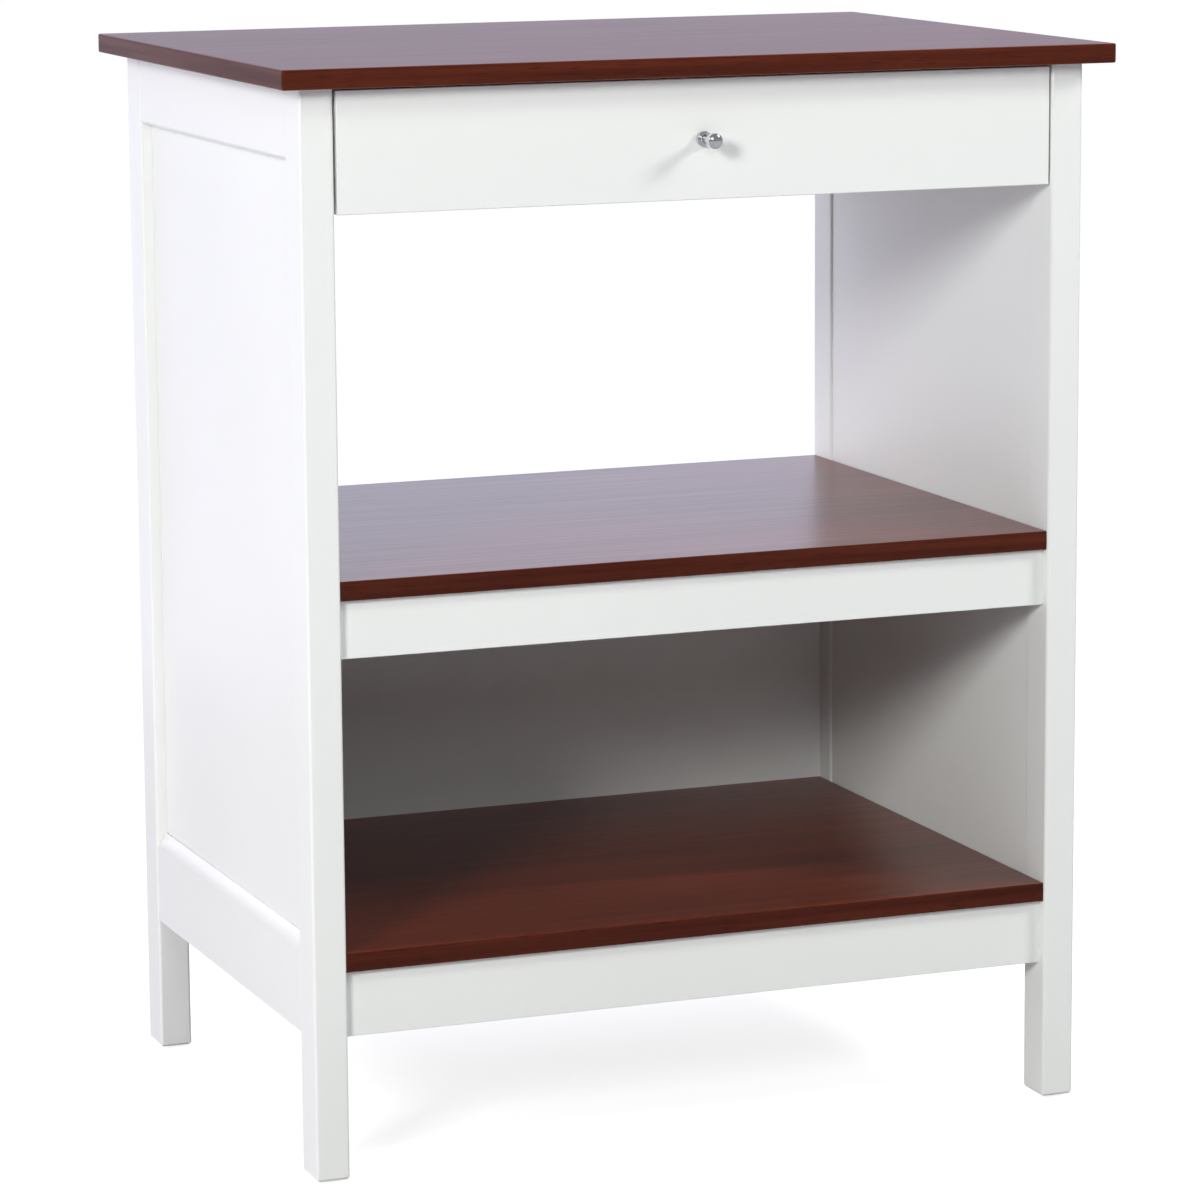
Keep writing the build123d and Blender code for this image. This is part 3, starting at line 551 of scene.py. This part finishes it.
for radius, start, end in (
    ("shankRadius", "shankStart", "length"), ("shoulderRadius", "shoulderStart", "shoulderEnd"),
):
    run = addNode(tree, "ShaderNodeMath", {0: given[end], 1: given[start]}, operation="SUBTRACT").outputs[0]
    rod = addNode(tree, "GeometryNodeMeshCone", {
        "Vertices": rivetSides["round"], "Radius Bottom": given[radius], "Radius Top": given[radius],
        "Depth": run}).outputs["Mesh"]
    place = addNode(tree, "ShaderNodeCombineXYZ", {2: given[start]}).outputs[0]
    parts.append(addNode(tree, "GeometryNodeTransform", {"Geometry": rod, "Translation": place}).outputs[0])
standOnSeats(tree, given, parts, 0.0)
for node in ("front_roller_rivets", "rear_roller_rivets"):
    fastenGroup(node, node + "_domed", tree, rivetSizes)
print("rivets done")

# Nail-on glides: a disc with an eased sole, a ring round the sunk nail head, and the nail
glideSizes = {
    "radius": 9.0, "soleRadius": 8.0, "ease": 1.0, "thickness": 2.5, "wellRadius": 3.2, "wellDepth": 0.6,
    "nailRadius": 1.1, "nailTip": 0.4, "nailLength": 14.5,
}
glideSides = {"disc": 56, "well": 32, "nail": 16}
tree, given = newTree("nailOnGlides", glideSizes)
sole = addNode(tree, "GeometryNodeMeshCone", {
    "Vertices": glideSides["disc"], "Radius Bottom": given["soleRadius"], "Radius Top": given["radius"],
    "Depth": given["ease"]}).outputs["Mesh"]
rest = addNode(tree, "ShaderNodeMath", {
    0: given["thickness"], 1: given["ease"]}, operation="SUBTRACT").outputs[0]
disc = addNode(tree, "GeometryNodeMeshCone", {
    "Vertices": glideSides["disc"], "Radius Bottom": given["radius"], "Radius Top": given["radius"],
    "Depth": rest}).outputs["Mesh"]
place = addNode(tree, "ShaderNodeCombineXYZ", {2: given["ease"]}).outputs[0]
disc = addNode(tree, "GeometryNodeTransform", {"Geometry": disc, "Translation": place}).outputs[0]
deep = addNode(tree, "ShaderNodeMath", {0: given["wellDepth"], 1: bothSides}, operation="MULTIPLY").outputs[0]
well = addNode(tree, "GeometryNodeMeshCylinder", {
    "Vertices": glideSides["well"], "Radius": given["wellRadius"], "Depth": deep}).outputs["Mesh"]
sole = addNode(tree, "GeometryNodeMeshBoolean", {"Mesh 1": sole, "Mesh 2": [well]}, **cutAway).outputs["Mesh"]
run = addNode(tree, "ShaderNodeMath", {
    0: given["nailLength"], 1: given["wellDepth"]}, operation="SUBTRACT").outputs[0]
nail = addNode(tree, "GeometryNodeMeshCone", {
    "Vertices": glideSides["nail"], "Radius Bottom": given["nailRadius"], "Radius Top": given["nailTip"],
    "Depth": run}).outputs["Mesh"]
place = addNode(tree, "ShaderNodeCombineXYZ", {2: given["wellDepth"]}).outputs[0]
nail = addNode(tree, "GeometryNodeTransform", {"Geometry": nail, "Translation": place}).outputs[0]
standOnSeats(tree, given, [sole, disc, nail], 0.0)
fastenGroup("foot_glides", "foot_glides_nailed", tree, glideSizes, "Z")
print("glides done")

# Fluted dowels: every other edge of a many-sided rod is pressed in, and the ends are pointed a little
dowelSizes = {
    "side_dowels": {"radius": 4.0, "length": 30, "point": 1.2},
    "cross_dowels": {"radius": 4.0, "length": 30, "point": 1.2},
    "drawer_dowels": {"radius": 3.0, "length": 30, "point": 1.0},
}
dowelSides = 36
fluteDepth = 0.07  # of the radius
tree, given = newTree("flutedDowels", dowelSizes["side_dowels"])
points = addNode(tree, "ShaderNodeMath", {0: given["point"], 1: 2.0}, operation="MULTIPLY").outputs[0]
run = addNode(tree, "ShaderNodeMath", {0: given["length"], 1: points}, operation="SUBTRACT").outputs[0]
small = addNode(tree, "ShaderNodeMath", {
    0: given["radius"], 1: given["point"]}, operation="SUBTRACT").outputs[0]
rod = addNode(tree, "GeometryNodeMeshCone", {
    "Vertices": dowelSides, "Radius Bottom": given["radius"], "Radius Top": given["radius"],
    "Depth": run}).outputs["Mesh"]
index = addNode(tree, "GeometryNodeInputIndex").outputs[0]
order = addNode(tree, "ShaderNodeMath", {0: index, 1: 2.0}, operation="MODULO").outputs[0]
place = addNode(tree, "GeometryNodeInputPosition").outputs[0]
press = addNode(tree, "ShaderNodeVectorMath", {
    0: place, 1: (-fluteDepth, -fluteDepth, 0)}, operation="MULTIPLY").outputs[0]
rod = addNode(tree, "GeometryNodeSetPosition", {
    "Geometry": rod, "Selection": order, "Offset": press}).outputs[0]
place = addNode(tree, "ShaderNodeCombineXYZ", {2: given["point"]}).outputs[0]
rod = addNode(tree, "GeometryNodeTransform", {"Geometry": rod, "Translation": place}).outputs[0]
end = addNode(tree, "GeometryNodeMeshCone", {
    "Vertices": dowelSides, "Radius Bottom": small, "Radius Top": given["radius"],
    "Depth": given["point"]}).outputs["Mesh"]
far = addNode(tree, "GeometryNodeMeshCone", {
    "Vertices": dowelSides, "Radius Bottom": given["radius"], "Radius Top": small,
    "Depth": given["point"]}).outputs["Mesh"]
start = addNode(tree, "ShaderNodeMath", {
    0: given["length"], 1: given["point"]}, operation="SUBTRACT").outputs[0]
place = addNode(tree, "ShaderNodeCombineXYZ", {2: start}).outputs[0]
far = addNode(tree, "GeometryNodeTransform", {"Geometry": far, "Translation": place}).outputs[0]
standOnSeats(tree, given, [rod, end, far], 0.0)
for node, sizes in dowelSizes.items():
    fastenGroup(node, node + "_fluted", tree, sizes)
print("dowels done")

# What keeps its packed form, the cam bolts, takes its finish alone
for node, shape in nodes.items():
    if not shape.hide_render:
        shape.data.materials.clear()
        shape.data.materials.append(materials[slotOf[node]])

# Floor and room: a white sweep under and behind the cabinet, a white wall on the left, a dim room in front
room = {
    "floorSize": 30.0, "floorDrop": 0.2, "floorColour": "#CBCBCA",  # size in m, drop in mm
    "shade": "#BCBCBC", "glow": 0.79,  # the sweep that the camera sees: what shadows dim, and the rest
    # what a glossy face shows of the floor, in front and behind, and between which places it turns
    "mirrored": (0.60, 0.36), "mirrorTurn": (-1.2, 0.4), "mirrorTint": "#F3F3F8",
    "front": 0.02, "frontMirrored": 0.27,
    "patch": 2.1, "patchReach": (6.5, 12.0),  # a soft box in a glossy face: strength, full and outer degrees
    # the walls: strength, tint, and the parts of the direction between which they begin and end
    "back": 0.88, "backTint": "#E3E8FF", "backTurn": (-0.40, 0.40),
    "left": 1.15, "leftTint": "#FFF1F2", "leftTurn": (0.35, 0.95), "leftEnd": (-0.15, 0.25),
}
floorMesh = bpy.data.meshes.new("floor")
half = room["floorSize"] / 2
floorLevel = -room["floorDrop"] * mm
corners = [(-half, -half), (half, -half), (half, half), (-half, half)]
floorMesh.from_pydata([(x, y, floorLevel) for x, y in corners], [], [(0, 1, 2, 3)])
floor = bpy.data.objects.new("floor", floorMesh)
scene.collection.objects.link(floor)
paper, tree = newMaterial("whitePaperSweep")
path = addNode(tree, "ShaderNodeLightPath").outputs
seen = addNode(tree, "ShaderNodeMath", {
    0: path["Is Camera Ray"], 1: path["Is Transmission Ray"]}, operation="MAXIMUM").outputs[0]
place = addNode(tree, "ShaderNodeTexCoord").outputs["Object"]
place = addNode(tree, "ShaderNodeSeparateXYZ", {0: place}).outputs
mirrored = addNode(tree, "ShaderNodeMapRange", {
    "Value": place["Y"], "From Min": room["mirrorTurn"][0], "From Max": room["mirrorTurn"][1],
    "To Min": room["mirrored"][0], "To Max": room["mirrored"][1]},
    interpolation_type="SMOOTHSTEP").outputs["Result"]
lit = addNode(tree, "ShaderNodeBsdfDiffuse", {"Color": hexColour(room["floorColour"])})
sheen = addNode(tree, "ShaderNodeEmission", {"Color": hexColour(room["mirrorTint"]), "Strength": mirrored})
shade = addNode(tree, "ShaderNodeBsdfDiffuse", {"Color": hexColour(room["shade"])})
glow = addNode(tree, "ShaderNodeEmission", {"Color": hexColour("#FFFFFF"), "Strength": room["glow"]})
white = addNode(tree, "ShaderNodeAddShader", {0: shade.outputs[0], 1: glow.outputs[0]})
either = addNode(tree, "ShaderNodeMixShader", {
    0: path["Is Glossy Ray"], 1: lit.outputs[0], 2: sheen.outputs[0]})
either = addNode(tree, "ShaderNodeMixShader", {0: seen, 1: either.outputs[0], 2: white.outputs[0]})
addNode(tree, "ShaderNodeOutputMaterial", {"Surface": either.outputs[0]})
floorMesh.materials.append(paper)

# Two soft boxes in front, as the two shadows of the knob show, a weak one by the camera, which reaches the
# back panel under the apron, a low white card on the left, and the lit sweep low behind the cabinet. Glossy
# faces show the last two as they are and the boxes as soft patches, too weak to glare on the boards.
softBoxes = {
    "leftBox": {"place": (-3.06, -3.16, 2.07), "target": (0, -0.1, 0.5), "size": (0.9, 0.9), "watts": 118,
                "tint": "#FEFFFD", "patch": True},
    "rightBox": {"place": (2.06, -1.49, 2.18), "target": (0, -0.1, 0.5), "size": (0.7, 0.7), "watts": 41,
                 "tint": "#FEFFFD", "patch": True},
    "cameraBox": {"place": (-0.88, -3.37, 1.73), "target": (0, -0.1, 0.5), "size": (0.7, 0.7), "watts": 16.5,
                  "tint": "#F6F9FF", "patch": True},
    "leftCard": {"place": (-1.7, 0.1, 0.12), "target": (-0.34, 0, 0.2), "size": (1.8, 0.2), "watts": 3.6,
                 "tint": "#FFF6F8", "patch": False},
    "litSweep": {"place": (0, 1.1, 0.55), "target": (0, 0, 0.55), "size": (1.8, 0.8), "watts": 3.9,
                 "tint": "#E6EBFF", "patch": False},
}
world = bpy.data.worlds.new("studio")
scene.world = world
world.use_nodes = True
tree = world.node_tree
tree.nodes.clear()
path = addNode(tree, "ShaderNodeLightPath").outputs
outward = addNode(tree, "ShaderNodeTexCoord").outputs["Generated"]
aim = addNode(tree, "ShaderNodeSeparateXYZ", {0: outward}).outputs
ahead = addNode(tree, "ShaderNodeMapRange", {
    "Value": path["Is Glossy Ray"], "To Min": room["front"],
    "To Max": room["frontMirrored"]}).outputs["Result"]
fullPatch, outerPatch = (math.cos(math.radians(reach)) for reach in room["patchReach"])
for spec in softBoxes.values():
    if spec["patch"]:
        way = (Vector(spec["place"]) - Vector(spec["target"])).normalized()
        facing = addNode(tree, "ShaderNodeVectorMath", {
            0: outward, 1: way}, operation="DOT_PRODUCT").outputs["Value"]
        patch = addNode(tree, "ShaderNodeMapRange", {
            "Value": facing, "From Min": outerPatch, "From Max": fullPatch, "To Max": room["patch"]},
            interpolation_type="SMOOTHSTEP").outputs["Result"]
        ahead = addNode(tree, "ShaderNodeMath", {
            0: patch, 1: path["Is Glossy Ray"], 2: ahead}, operation="MULTIPLY_ADD").outputs[0]
behind = addNode(tree, "ShaderNodeMapRange", {
    "Value": aim["Y"], "From Min": room["backTurn"][0], "From Max": room["backTurn"][1]},
    interpolation_type="SMOOTHSTEP").outputs["Result"]
beside = addNode(tree, "ShaderNodeMapRange", {
    "Value": aim["X"], "From Min": -room["leftTurn"][1], "From Max": -room["leftTurn"][0],
    "To Min": room["left"], "To Max": 0.0}, interpolation_type="SMOOTHSTEP").outputs["Result"]
ending = addNode(tree, "ShaderNodeMapRange", {
    "Value": aim["Y"], "From Min": room["leftEnd"][0], "From Max": room["leftEnd"][1]},
    interpolation_type="SMOOTHSTEP").outputs["Result"]
beside = addNode(tree, "ShaderNodeMath", {0: beside, 1: ending}, operation="MULTIPLY").outputs[0]
frontRoom = addNode(tree, "ShaderNodeBackground", {"Color": hexColour("#FFFFFF"), "Strength": ahead})
backWall = addNode(tree, "ShaderNodeBackground", {
    "Color": hexColour(room["backTint"]), "Strength": room["back"]})
backWall = addNode(tree, "ShaderNodeMixShader", {0: behind, 1: frontRoom.outputs[0], 2: backWall.outputs[0]})
leftWall = addNode(tree, "ShaderNodeBackground", {"Color": hexColour(room["leftTint"]), "Strength": beside})
walls = addNode(tree, "ShaderNodeAddShader", {0: backWall.outputs[0], 1: leftWall.outputs[0]})
sweep = addNode(tree, "ShaderNodeBackground", {"Color": hexColour("#FFFFFF"), "Strength": 1.0})
either = addNode(tree, "ShaderNodeMixShader", {
    0: path["Is Camera Ray"], 1: walls.outputs[0], 2: sweep.outputs[0]})
addNode(tree, "ShaderNodeOutputWorld", {"Surface": either.outputs[0]})

for name, spec in softBoxes.items():
    light = bpy.data.lights.new(name, "AREA")
    light.shape, light.energy = "RECTANGLE", spec["watts"]
    light.size, light.size_y = spec["size"]
    light.color = hexColour(spec["tint"])[:3]
    lamp = bpy.data.objects.new(name, light)
    lamp.location = spec["place"]
    lamp.rotation_euler = (Vector(spec["target"]) - lamp.location).to_track_quat("-Z", "Y").to_euler()
    lamp.visible_camera = False
    lamp.visible_glossy = not spec["patch"]
    scene.collection.objects.link(lamp)
print("room and lights done")

# Camera: a pinhole fitted to the photograph's edges, over a 1200 x 1200 image
shot = {"focal": 4834.14, "image": 1200, "sensor": 36, "place": (-1.49456, -3.82495, 1.15058),
        "yaw": 21.361, "pitch": -10.118, "roll": -0.387}  # focal length in pixels, sensor in mm, degrees
yaw, pitch, roll = (math.radians(shot[key]) for key in ("yaw", "pitch", "roll"))
ahead = Vector((math.sin(yaw) * math.cos(pitch), math.cos(yaw) * math.cos(pitch), math.sin(pitch)))
level = Vector((math.cos(yaw), -math.sin(yaw), 0))
above = level.cross(ahead)
across = level * math.cos(roll) + above * math.sin(roll)
upward = above * math.cos(roll) - level * math.sin(roll)
lens = bpy.data.cameras.new("camera")
lens.sensor_width = shot["sensor"]
lens.lens = shot["focal"] / shot["image"] * shot["sensor"]
camera = bpy.data.objects.new("camera", lens)
camera.matrix_world = Matrix((
    (across.x, upward.x, -ahead.x, shot["place"][0]),
    (across.y, upward.y, -ahead.y, shot["place"][1]),
    (across.z, upward.z, -ahead.z, shot["place"][2]),
    (0, 0, 0, 1)))
scene.collection.objects.link(camera)
scene.camera = camera
